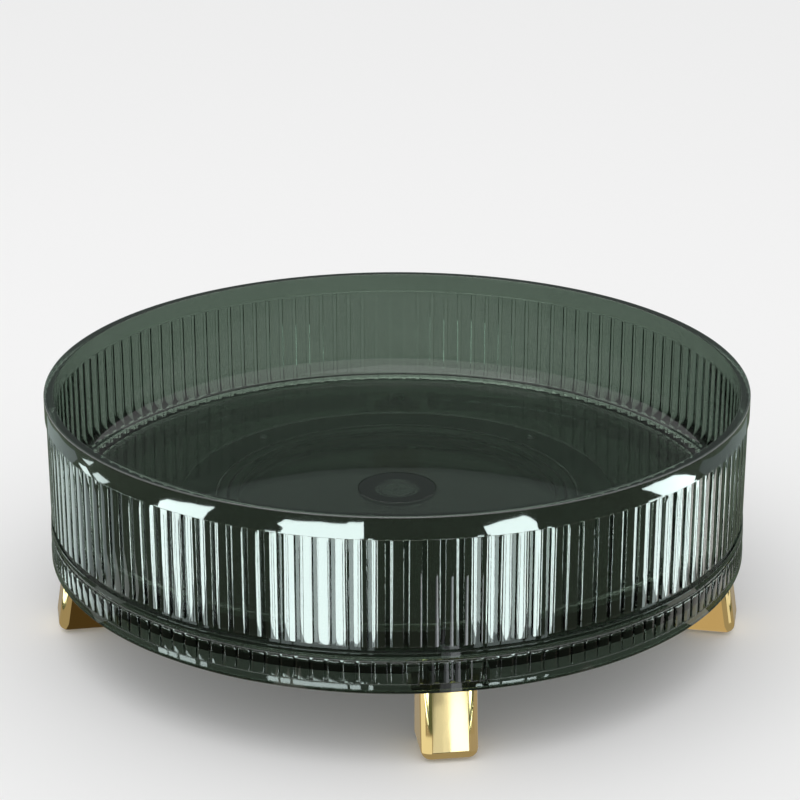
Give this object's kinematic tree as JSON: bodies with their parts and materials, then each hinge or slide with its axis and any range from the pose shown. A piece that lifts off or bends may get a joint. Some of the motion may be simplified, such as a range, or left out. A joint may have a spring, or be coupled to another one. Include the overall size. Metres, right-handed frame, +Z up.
{
  "type": "rotating cosmetics tray",
  "caption": "Round ribbed tray of smoked transparent plastic that turns on a ball-bearing ring above a fixed ribbed base with short polished legs, for cosmetics.",
  "frame": {"origin": "on the surface that the organizer stands on, under the centre of the tray", "axes": "+Z up, along the axis that the tray turns on; the front of the picture is towards -Y"},
  "size_m": [0.3, 0.3, 0.104],
  "materials": {
    "smoked_green": "transparent smoky green, polished",
    "polished_gold": "mirror-polished gold plating",
    "foot_silicone": "matte translucent silicone",
    "zinc_sheet": "zinc-plated pressed sheet",
    "ball_steel": "ground and polished",
    "cage_nylon": "natural nylon, matte",
    "bush_acetal": "white acetal, satin",
    "insert_brass": "turned brass",
    "screw_steel": "zinc-plated"
  },
  "bodies": {
    "base": {"base_ring": "smoked_green", "leg_1": "polished_gold", "leg_2": "polished_gold", "leg_3": "polished_gold", "leg_4": "polished_gold", "leg_pad_1": "foot_silicone", "leg_pad_2": "foot_silicone", "leg_pad_3": "foot_silicone", "leg_pad_4": "foot_silicone", "leg_screws": "screw_steel", "lower_race": "zinc_sheet", "lower_race_screws": "screw_steel", "pivot_insert": "insert_brass", "pivot_screw": "screw_steel", "thrust_washer": "screw_steel"},
    "cage": {"ball_cage": "cage_nylon", "bearing_balls": "ball_steel"},
    "tray": {"tray": "smoked_green", "upper_race": "zinc_sheet", "upper_race_screws": "screw_steel", "pivot_bush": "bush_acetal", "head_washer": "screw_steel", "centre_cap": "smoked_green"}
  },
  "joints": [
    {"name": "tray_spin", "type": "hinge", "parent": "base", "child": "tray", "pos_m": [0, 0, 0.0457], "axis": [0, 0, 1], "continuous": true},
    {"name": "cage_spin", "type": "hinge", "parent": "base", "child": "cage", "pos_m": [0, 0, 0.0457], "axis": [0, 0, 1], "continuous": true}
  ],
  "couplings": [
    {"joint": "cage_spin", "follows": "tray_spin", "ratio": 0.5}
  ]
}
